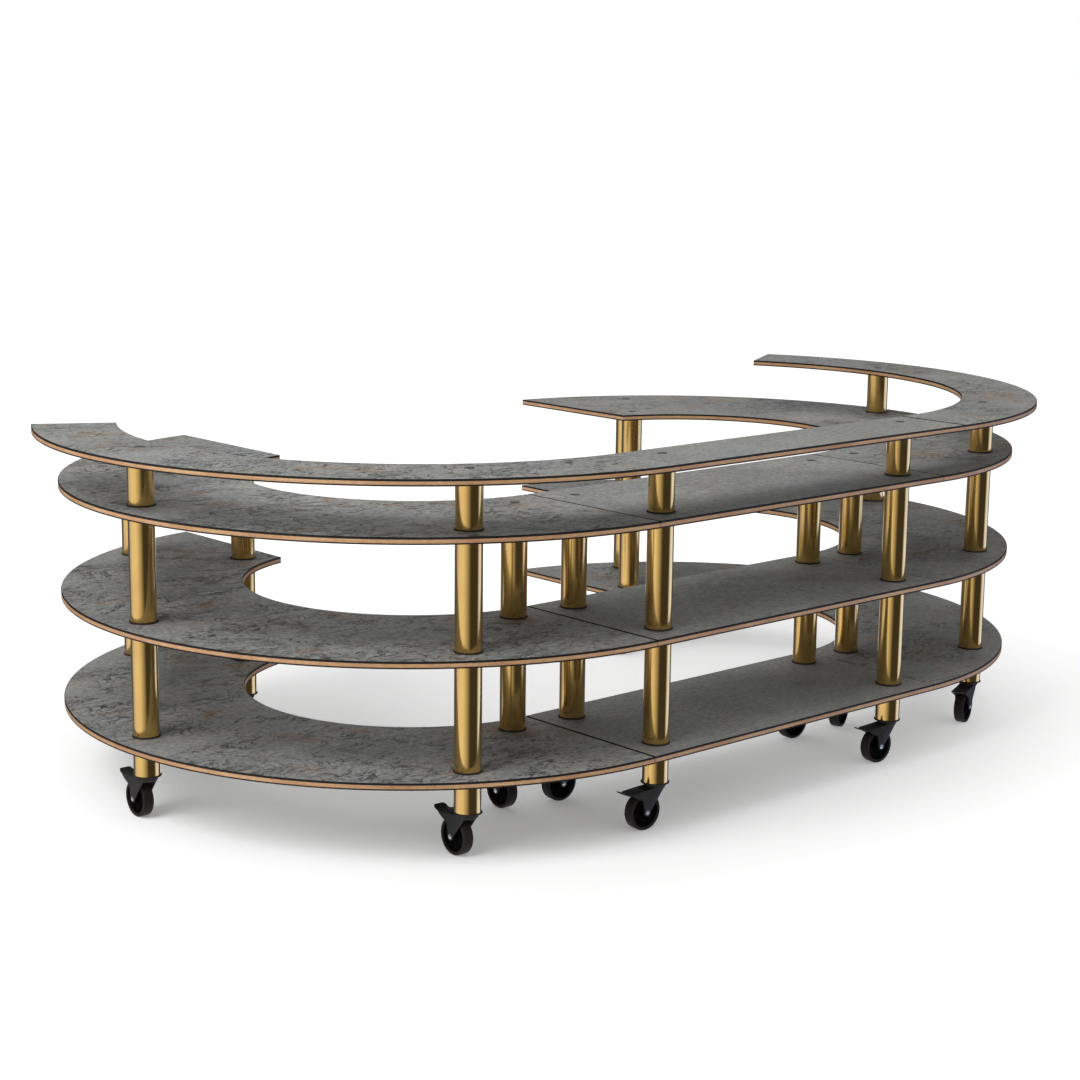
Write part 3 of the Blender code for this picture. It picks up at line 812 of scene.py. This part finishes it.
def curved_place(side, start, radius, share, sweep):
    """A point on a curved board, by its share of the way from the seam to the far end."""
    angle = start + (sweep - start) * share
    return side * (END_X + radius * sin(angle)), CENTRE_Y - radius * cos(angle)


def board_section(top, bottom, look):
    """The edge of a board from top to bottom, as (inset, height)."""
    upper, lower = look.top_round, look.lower_round
    curl = 1 - sqrt(0.5)
    return [(upper, top), (upper * curl, top - upper * curl), (0.0, top - upper),
            (0.0, top - look.top_band), (0.0, bottom + look.lower_band), (0.0, bottom + lower),
            (lower, bottom)]


def seam_reliefs(board, in_top_band, inset, look):
    """By side of the middle module, how far one row of a board stops short of the seam."""
    reliefs = {}
    for side, groove in zip((-1, 1), SEAM_GROOVES[board]):
        reliefs[side] = groove + inset if groove and in_top_band else look.seam_relief
    return reliefs


def board_rows(side, ledge, inset, reliefs):
    """Outer and inner points along a board for one inset of its edge and its seam reliefs."""
    outer, inner = (LEDGE_OUTER, LEDGE_INNER) if ledge else (OUTER_RADIUS, INNER_RADIUS)
    outer, inner = outer - inset, inner + inset
    if side == 0:
        ends = [end * (MIDDLE_HALF - reliefs[end]) for end in (-1, 1)]
        return [((x, CENTRE_Y - outer), (x, CENTRE_Y - inner)) for x in ends]
    if ledge:
        sweeps = [LEDGE_SWEEP - inset / radius for radius in (outer, inner)]
    else:
        sweeps = [pi - asin((END_CUT + inset) / radius) for radius in (outer, inner)]
    starts = [asin(reliefs[side] / radius) for radius in (outer, inner)]
    shares = [i / ARC_STATIONS for i in range(ARC_STATIONS + 1)]
    return [(curved_place(side, starts[0], outer, share, sweeps[0]),
             curved_place(side, starts[1], inner, share, sweeps[1])) for share in shares]


def board_mesh(node, board, side, look, materials, shift, riven):
    """A board swept along its run: laminate faces, dark laminate edges and a plywood core."""
    low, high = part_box(node)
    ledge = board == "ledge"
    # The caps over the ledge end where the CAD does, so the ledge's top lies below them
    top = high.z - bpy.context.scene.post_finish.cap_height if ledge else high.z
    section = board_section(top, low.z, look)
    band_foot = top - look.top_band - MERGE
    rows = [board_rows(side, ledge, inset, seam_reliefs(board, z > band_foot, inset, look))
            for inset, z in section]
    count, depth = len(rows[0]), len(section)
    shape = bmesh.new()
    grid = [[None] * (2 * depth) for _ in range(count)]
    for k, (_, z) in enumerate(section):
        for i, (outer, inner) in enumerate(rows[k]):
            grid[i][k] = shape.verts.new((*outer, z))
            grid[i][2 * depth - 1 - k] = shape.verts.new((*inner, z))
    slate, band, ply = range(3)
    edge_kinds = [band, band, band, ply, band, band]
    kinds = edge_kinds + [slate] + edge_kinds[::-1] + [slate]
    for i in range(count - 1):
        for k, kind in enumerate(kinds):
            following = (k + 1) % (2 * depth)
            corners = (grid[i][k], grid[i + 1][k], grid[i + 1][following], grid[i][following])
            shape.faces.new(corners).material_index = kind
    for end in (grid[0], grid[-1]):
        for k, kind in enumerate(edge_kinds):
            corners = (end[k], end[k + 1], end[2 * depth - 2 - k], end[2 * depth - 1 - k])
            shape.faces.new(corners).material_index = kind
    bmesh.ops.recalc_face_normals(shape, faces=shape.faces)
    mesh = finished_mesh(f"{node}_panel", shape, materials)
    total = len(mesh.vertices)
    shifts = mesh.attributes.new("grain_shift", "FLOAT_VECTOR", "POINT")
    shifts.data.foreach_set("vector", [*shift] * total)
    mesh.attributes.new("riven", "FLOAT", "POINT").data.foreach_set("value", [riven] * total)
    mesh.shade_smooth()
    mesh.set_sharp_from_angle(angle=BOARD_SMOOTH_ANGLE)
    return mesh


class STATION_OT_boards(bpy.types.Operator):
    """Lays the slate boards of the three modules"""
    bl_idname = "station.boards"
    bl_label = "Slate boards"

    def execute(self, context):
        look = context.scene.board_finish
        edge = speckled_material("laminate_edge", look.band)
        materials = [slate_material(look), edge, ply_material(look)]
        for number, (module, side) in enumerate(MODULES.items()):
            for level, board in enumerate(BOARDS):
                node = f"{module}_{board}"
                shift = [step * number for step in MODULE_SHIFT] + [LEVEL_SHIFT * level]
                mesh = board_mesh(node, board, side, look, materials, shift, RIVEN[module])
                add_piece(f"{node}_panel", mesh, STATION, (node,))
        return {"FINISHED"}


# Posts

def board_tops():
    return [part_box(f"middle_{board}")[1].z for board in BOARDS]


def board_bottoms():
    return [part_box(f"middle_{board}")[0].z for board in BOARDS]


def tube_spans(tall):
    """Foot and top of each tube of a post; only a tall one carries the ledge."""
    spans = list(zip([POST_FOOT] + board_tops(), board_bottoms()))
    return spans if tall else spans[:-1]


def tube_shape(foot, top, look):
    """A hollow tube with chamfered ends."""
    outer, inner, ease = POST_RADIUS, POST_RADIUS - look.wall, look.chamfer
    profile = [(inner, top), (outer - ease, top), (outer, top - ease), (outer, foot + ease),
               (outer - ease, foot), (inner, foot), (inner, top)]
    return turned(profile, TUBE_SIDES)


class STATION_OT_posts(bpy.types.Operator):
    """Stands the brass tubes between the boards"""
    bl_idname = "station.posts"
    bl_label = "Brass posts"

    def execute(self, context):
        look = context.scene.post_finish
        brass = brass_material(look)
        for name in CASTERS:
            matrix = caster_matrix(name)
            spans = tube_spans(name in BRAKED)
            shapes = [(tube_shape(*span, look), 0, matrix) for span in spans]
            mesh = joined_mesh(f"{name}_tubes", shapes, (brass,))
            add_piece(f"{name}_tubes", mesh, STATION, (f"{name}_post",))
        return {"FINISHED"}


class STATION_OT_gaskets(bpy.types.Operator):
    """Sets a dark ring under each tube and a cap over each tie rod"""
    bl_idname = "station.gaskets"
    bl_label = "Gaskets and caps"

    def execute(self, context):
        look = context.scene.post_finish
        rings, caps = [], []
        bottom, lower, counter, ledge = board_tops()
        for name in CASTERS:
            place = joint_place(f"{name}_swivel")
            tall = name in BRAKED
            feet = (bottom, lower, counter) if tall else (bottom, lower)
            rings += [(place.x, place.y, foot + look.gasket_height / 2) for foot in feet]
            cap_top = ledge if tall else counter + look.cap_height
            caps.append((place.x, place.y, cap_top - look.cap_height / 2))
        rubber = speckled_material("gasket_rubber", look.gasket)
        grey = speckled_material("cap_grey", look.cap)
        ring_mesh = grown_mesh("post_gaskets", gasket_tree(), rings, {
            "Radius": POST_RADIUS, "Lip": look.gasket_lip, "Height": look.gasket_height,
            "Material": rubber})
        cap_mesh = grown_mesh("tie_rod_caps", cap_tree(), caps, {
            "Radius": look.cap_radius, "Height": look.cap_height, "Material": grey})
        add_piece("post_gaskets", ring_mesh, STATION)
        add_piece("tie_rod_caps", cap_mesh, STATION)
        return {"FINISHED"}


# Casters

# Angles of a half and of a quarter turn
HALF_TURN = [pi * i / BOSS_STEPS for i in range(BOSS_STEPS + 1)]
QUARTER_TURN = [pi / 2 * i / ROUND_STEPS for i in range(ROUND_STEPS + 1)]

# Front of the fork's bridge at its top and foot, as shares of the cheek's half length
BRIDGE_TOP = 0.8
BRIDGE_FOOT = 0.6

# Rounding under the crown, in quarters of the flange's depth inwards and upwards
CROWN_CURVE = ((0, 6), (1, 3), (3, 1), (5, 0))

# The axle bolt's domed head and the chamfer of its washer, as shares of the washer
HEAD_RADIUS = 0.68
HEAD_FOOT = 0.3
WASHER_TOP_RADIUS = 0.94
WASHER_HEIGHT = 0.2

# The spokes start inside the hub's boss, and the brake's corners are rounded by its sheet
SPOKE_ROOT = 0.9
BRAKE_CORNER = 1.5


def fork_outline(look):
    """Side view of a fork's cheek: straight front edge, axle boss, leg and the fender behind."""
    boss = [(TRAIL + look.boss * cos(pi + a), WHEEL_RADIUS + look.boss * sin(pi + a))
            for a in HALF_TURN]
    shoulder = CROWN_TOP - look.shoulder_drop
    end = TRAIL + look.fender_reach
    rear = [(TRAIL + look.leg_rear, WHEEL_RADIUS + look.leg_rise),
            (TRAIL + look.fender_middle, WHEEL_RADIUS + look.fender_middle_rise),
            (end, WHEEL_RADIUS + look.fender_rise), (end, WHEEL_RADIUS + look.fender_top),
            (look.shoulder_half, shoulder), (-look.shoulder_half, shoulder)]
    return fillet(boss + rear, look.corner)


def crown_shape(look):
    """The round crown with the flange that carries the post."""
    top = CROWN_TOP + look.flange_depth
    rim, soft = look.flange_radius, look.flange_depth / 4
    crown, low = look.crown_radius, CROWN_TOP - look.crown_depth + look.plate
    flange = [(0.0, top), (rim - soft, top), (rim, top - soft), (rim, CROWN_TOP + soft),
              (rim - soft, CROWN_TOP), (crown + soft, CROWN_TOP), (crown, CROWN_TOP - 2 * soft)]
    under = [(crown - inwards * soft, low + up * soft) for inwards, up in CROWN_CURVE]
    return turned(flange + under + [(0.0, low)], WHEEL_SIDES)


def bolt_shape(look):
    """The washer and domed head of the axle's bolt, outside a cheek."""
    washer, deep, face = look.bolt_radius, look.bolt_depth, look.fork_gap / 2 + look.plate
    head = [(washer * HEAD_RADIUS * sin(a), face + deep * (HEAD_FOOT + (1 - HEAD_FOOT) * cos(a)))
            for a in QUARTER_TURN]
    rim = [(washer * WASHER_TOP_RADIUS, face + deep * HEAD_FOOT),
           (washer, face + deep * WASHER_HEIGHT), (washer, face), (0.0, face)]
    return turned(head + rim, BOLT_SIDES)


def fork_template(look, materials):
    """A fork at the origin: two cheeks, bridge, crown with flange, axle and plated bolts."""
    half, pin = look.fork_gap / 2, look.boss / 3
    outline = fork_outline(look)
    ease = look.plate / 5
    shoulder, foot = CROWN_TOP - look.shoulder_drop, CROWN_TOP - look.crown_depth
    bridge_end = PIVOT[0] - look.boss
    bridge = fillet([(-look.shoulder_half * BRIDGE_TOP, shoulder),
                     (-look.shoulder_half * BRIDGE_FOOT, foot), (bridge_end, foot),
                     (bridge_end, shoulder - look.plate)], look.corner / 3)
    shapes = [(plate(outline, -half - look.plate, -half, ease), 0, STILL),
              (plate(outline, half, half + look.plate, ease), 0, STILL),
              (plate(bridge, -half - look.plate / 2, half + look.plate / 2, ease), 0, STILL),
              (crown_shape(look), 0, STILL)]
    axle = turned([(0.0, half), (pin, half), (pin, -half), (0.0, -half)], BOLT_SIDES)
    shapes.append((axle, 1, along_y(TRAIL, 0, WHEEL_RADIUS)))
    for turn in (0.0, pi):
        facing = Matrix.Rotation(turn, 4, "Z") @ along_y(0, 0, 0)
        matrix = Matrix.Translation((TRAIL, 0, WHEEL_RADIUS)) @ facing
        shapes.append((bolt_shape(look), 1, matrix))
    return joined_mesh("fork", shapes, materials)


class STATION_OT_forks(bpy.types.Operator):
    """Hangs a fork under each post"""
    bl_idname = "station.forks"
    bl_label = "Caster forks"

    def execute(self, context):
        look = context.scene.caster_finish
        coat = speckled_material("powder_coat", look.coat)
        zinc = speckled_material("zinc_bolt", look.zinc)
        template = fork_template(look, (coat, zinc))
        for name in CASTERS:
            add_copy(template, f"{name}_fork_shell", caster_matrix(name), f"{name}_caster",
                     (f"{name}_fork",))
        return {"FINISHED"}


def wheel_template(look, materials):
    """Tyre and hub at the axle's place in the caster."""
    half, lip, turn = look.tyre_width / 2, look.rim_radius, look.tyre_round
    web = half - look.rim_recess
    shoulder = [(WHEEL_RADIUS - turn + turn * sin(a), half - turn + turn * cos(a))
                for a in QUARTER_TURN]
    upper = [(lip, web), (lip, half - turn / 4), (lip + turn / 4, half)] + shoulder
    lower = [(radius, -height) for radius, height in reversed(upper)]
    tyre = turned(upper + lower + upper[:1], WHEEL_SIDES)
    hub_half, boss = look.hub_width / 2, look.hub_radius
    ease = boss / 8
    face = [(0.0, hub_half), (boss - ease, hub_half), (boss, hub_half - ease), (boss, web - ease),
            (lip - 2 * ease, web - ease), (lip, web + 2 * ease)]
    back = [(radius, -height) for radius, height in reversed(face)]
    hub = turned(face + back, WHEEL_SIDES)
    lying = along_y(TRAIL, 0, WHEEL_RADIUS)
    return joined_mesh("wheel", [(tyre, 0, lying), (hub, 1, lying)], materials)


class STATION_OT_wheels(bpy.types.Operator):
    """Puts a tyre and a ribbed hub on each axle"""
    bl_idname = "station.wheels"
    bl_label = "Caster wheels"

    def execute(self, context):
        look = context.scene.caster_finish
        tyre = speckled_material("tyre_rubber", look.tyre)
        hub = speckled_material("hub_moulding", look.hub)
        template = wheel_template(look, (tyre, hub))
        web = 2 * (look.tyre_width / 2 - look.rim_recess)
        spokes = grown_mesh("hub_spokes", spoke_tree(), [(0, 0, 0)], {
            "Inner": look.hub_radius * SPOKE_ROOT, "Outer": look.rim_radius,
            "Thickness": look.spoke_thickness, "Depth": web + 2 * look.spoke_rise,
            "Count": look.spoke_count, "Material": hub})
        spokes.transform(along_y(TRAIL, 0, WHEEL_RADIUS))
        for name in CASTERS:
            matrix, body = caster_matrix(name), f"{name}_rolling"
            add_copy(template, f"{name}_tyre_and_hub", matrix, body, (f"{name}_wheel",))
            add_copy(spokes, f"{name}_spokes", matrix, body)
        return {"FINISHED"}


def stations(first, last):
    """Points along a straight stretch of an outline, both ends with them."""
    shares = [i / TIP_STATIONS for i in range(TIP_STATIONS + 1)]
    return [tuple(Vector(first).lerp(Vector(last), share)) for share in shares]


def brake_outline(look):
    """Side view of the toe brake about its pin."""
    end = look.top - look.dip
    back = [(look.bend, end), (look.tip, look.tip_rise)]
    under = [(look.tip + look.sheet / 2, look.tip_rise - look.sheet),
             (look.bend + look.sheet, end - look.sheet)]
    points = [(-look.heel, -look.belly), (-look.heel, look.top), *stations(*back),
              *stations(*under), (look.bend - look.tip_rise, -look.belly)]
    return fillet(points, look.sheet * BRAKE_CORNER)


def brake_shape(look):
    """The lever, with the corners of its tip rounded in plan."""
    half = look.width / 2
    shape = plate(brake_outline(look), -half, half, look.sheet / 4)
    start = look.tip + look.sheet / 2 - look.tip_round
    for vert in shape.verts:
        reach = min(1.0, max(0.0, (vert.co.x - start) / look.tip_round))
        vert.co.y *= 1 - look.tip_round / half * (1 - sqrt(1 - reach**2))
    return shape


class STATION_OT_brakes(bpy.types.Operator):
    """Hinges a toe brake behind each braked wheel"""
    bl_idname = "station.brakes"
    bl_label = "Toe brakes"

    def execute(self, context):
        coat = speckled_material("brake_coat", context.scene.caster_finish.coat)
        shape = brake_shape(context.scene.brake_finish)
        place = Matrix.Translation((PIVOT[0], 0, PIVOT[1]))
        template = joined_mesh("brake", [(shape, 0, place)], (coat,))
        for name in BRAKED:
            add_copy(template, f"{name}_toe_lever", caster_matrix(name), f"{name}_pedal",
                     (f"{name}_brake",))
        return {"FINISHED"}


# Stage

# Cards of the studio wall, which only reflections see, by compass angle from +X in degrees
CARD_WHITE = (0.98, 0.96, 0.97)
CARD_COOL = (0.67, 0.71, 0.86)
CARD_HALF = (0.62, 0.61, 0.57)
CARD_SHADE = (0.34, 0.33, 0.30)
CARD_DARK = (0.055, 0.055, 0.056)
CARD_DIM = (0.11, 0.11, 0.12)
CARD_STRIP = (0.95, 1.14, 1.85)
WALL_TONES = [
    (-180, CARD_WHITE), (-170, CARD_WHITE), (-147, CARD_HALF), (-132, CARD_SHADE),
    (-117, CARD_DARK), (-57, CARD_DARK), (-42, CARD_STRIP), (-14, CARD_STRIP), (-4, CARD_DARK),
    (26, CARD_DARK), (36, CARD_WHITE), (60, CARD_WHITE), (72, CARD_DIM), (116, CARD_DIM),
    (132, CARD_COOL), (158, CARD_WHITE), (180, CARD_WHITE)]

# Between these heights the cards give way to one dim tone, so that flat tops look alike all round
WALL_BREAK = (1.3, 2.0)
WALL_RADIUS = 14.0
WALL_HEIGHT = 28.0
UNSEEN_RAYS = ("camera", "diffuse", "transmission", "volume_scatter", "shadow")

# The floor's painted light, a glow that the camera sees, is weakest round a point left of the
# station's middle, which keeps the floor there darker, and full beyond the reach, which pales the
# key's shadow to the right and the floor far away
FLOOR_SIDE = 90.0
FLOOR_ROUGHNESS = 0.9
PAINTED_LIGHT_CENTRE = (-1.2, 0.2, 0.0)
PAINTED_LIGHT_REACH = (1.4, 3.2)

# A soft square lamp high on the left
KEY_PLACE = (-7.0, -0.4, 5.6)
KEY_SIZE = 5.0
WHITE = (1.0, 1.0, 1.0, 1.0)


def studio_wall():
    """A round wall of bright and dark cards, seen only in reflections."""
    material = bpy.data.materials.new("studio_cards")
    material.use_nodes = True
    tree = Tree(material.node_tree)
    tree.tree.nodes.clear()
    place = tree.place()
    compass = tree.add("ShaderNodeTexGradient", {"Vector": place}, gradient_type="RADIAL")
    ramp = tree.add("ShaderNodeValToRGB", {"Fac": compass.outputs["Fac"]})
    stops = ramp.color_ramp.elements
    for _ in range(len(WALL_TONES) - len(stops)):
        stops.new(0.5)
    for stop, (angle, tone) in zip(stops, WALL_TONES):
        stop.position = (angle + 180) / 360
        stop.color = (*tone, 1.0)
    height = tree.add("ShaderNodeSeparateXYZ", {0: place}).outputs["Z"]
    plain = tree.span(height, *WALL_BREAK)
    tone = tree.mix(plain, ramp.outputs["Color"], (*CARD_DIM, 1.0))
    glow = tree.add("ShaderNodeEmission", {"Color": tone, "Strength": 1.0})
    tree.add("ShaderNodeOutputMaterial", {"Surface": glow.outputs[0]})
    shape = bmesh.new()
    bmesh.ops.create_cone(shape, cap_ends=False, segments=TUBE_SIDES, radius1=WALL_RADIUS,
                          radius2=WALL_RADIUS, depth=WALL_HEIGHT)
    wall = shown("studio_wall", finished_mesh("studio_wall", shape, (material,)))
    for ray in UNSEEN_RAYS:
        setattr(wall, f"visible_{ray}", False)
    return wall


def seen_rays(tree):
    """1 for rays that show the background: from the camera, mirrored or through glass."""
    rays = tree.add("ShaderNodeLightPath").outputs
    seen = tree.math("ADD", rays["Is Camera Ray"], rays["Is Glossy Ray"], clamp=True)
    return tree.math("ADD", seen, rays["Is Transmission Ray"], clamp=True)


def studio_floor(look):
    """A pale floor that keeps the station's shadow, with painted light that is weakest near the
    station and pales the key's shadow to its right and far away.
    """
    material, tree, shader = new_material("studio_floor")
    away = tree.vector_math("DISTANCE", tree.place(), PAINTED_LIGHT_CENTRE)["Value"]
    # Painted light: the glow grows from near the station to far away, paling the key's shadow
    painted_light = tree.span(away, *PAINTED_LIGHT_REACH, look.painted_light_near, look.painted_light_far)
    tree.feed(shader, {
        "Base Color": look.floor,
        "Roughness": FLOOR_ROUGHNESS,
        "Specular IOR Level": 0.0,
        "Emission Color": WHITE,
        "Emission Strength": tree.times(seen_rays(tree), painted_light),
    })
    shape = bmesh.new()
    bmesh.ops.create_grid(shape, x_segments=1, y_segments=1, size=FLOOR_SIDE / 2)
    floor = shown("studio_floor", finished_mesh("studio_floor", shape, (material,)))
    floor.visible_glossy = False
    return floor


def studio_world(look):
    """A soft dome of light whose background is white."""
    world = bpy.data.worlds.new("studio")
    bpy.context.scene.world = world
    world.use_nodes = True
    tree = Tree(world.node_tree)
    tree.tree.nodes.clear()
    dome = tree.add("ShaderNodeBackground", {"Color": WHITE, "Strength": look.dome})
    white = tree.add("ShaderNodeBackground", {"Color": WHITE, "Strength": 1.0})
    both = tree.add("ShaderNodeMixShader", {
        0: seen_rays(tree), 1: dome.outputs[0], 2: white.outputs[0]})
    tree.add("ShaderNodeOutputWorld", {"Surface": both.outputs[0]})


def aimed(place, target, roll=0.0):
    """Matrix of a lamp or camera at a place that looks at a target."""
    forward = (Vector(target) - Vector(place)).normalized()
    right = forward.cross(Vector((0, 0, 1))).normalized()
    up = right.cross(forward)
    right, up = right * cos(roll) + up * sin(roll), up * cos(roll) - right * sin(roll)
    turn = Matrix((right, up, -forward)).transposed().to_4x4()
    return Matrix.Translation(place) @ turn


class STATION_OT_stage(bpy.types.Operator):
    """Sets the floor, the light and the camera"""
    bl_idname = "station.stage"
    bl_label = "Stage"

    def execute(self, context):
        look = context.scene.stage_look
        studio_floor(look)
        studio_wall()
        studio_world(look)
        lamp = bpy.data.lights.new("key", "AREA")
        lamp.shape = "SQUARE"
        lamp.size = KEY_SIZE
        lamp.energy = look.key
        key = shown("key", lamp)
        key.matrix_world = aimed(KEY_PLACE, look.camera_target)
        key.visible_glossy = False
        camera = shown("camera", bpy.data.cameras.new("camera"))
        camera.data.lens = look.lens
        camera.matrix_world = aimed(look.camera_place, look.camera_target, look.camera_roll)
        context.scene.camera = camera
        context.scene.view_settings.view_transform = "Standard"
        return {"FINISHED"}


OPERATORS = (STATION_OT_boards, STATION_OT_posts, STATION_OT_gaskets, STATION_OT_forks,
             STATION_OT_wheels, STATION_OT_brakes, STATION_OT_stage)


class STATION_PT_panel(bpy.types.Panel):
    """Lists the steps that dress the station"""
    bl_idname = "STATION_PT_panel"
    bl_label = "Serving station"
    bl_space_type = "VIEW_3D"
    bl_region_type = "UI"
    bl_category = "Station"

    def draw(self, context):
        for operator in OPERATORS:
            self.layout.operator(operator.bl_idname)
        for name, finish in FINISHES.items():
            box = self.layout.box()
            for key in finish.__annotations__:
                box.prop(getattr(context.scene, name), key)


CLASSES = (*FINISHES.values(), *OPERATORS, STATION_PT_panel)


def register():
    for cls in CLASSES:
        bpy.utils.register_class(cls)
    for name, finish in FINISHES.items():
        setattr(bpy.types.Scene, name, PointerProperty(type=finish))


def unregister():
    for name in FINISHES:
        delattr(bpy.types.Scene, name)
    for cls in reversed(CLASSES):
        bpy.utils.unregister_class(cls)


def main():
    register()
    bpy.ops.station.boards()
    bpy.ops.station.posts()
    bpy.ops.station.gaskets()
    bpy.ops.station.forks()
    bpy.ops.station.wheels()
    bpy.ops.station.brakes()
    bpy.ops.station.stage()


if __name__ == "__main__":
    main()
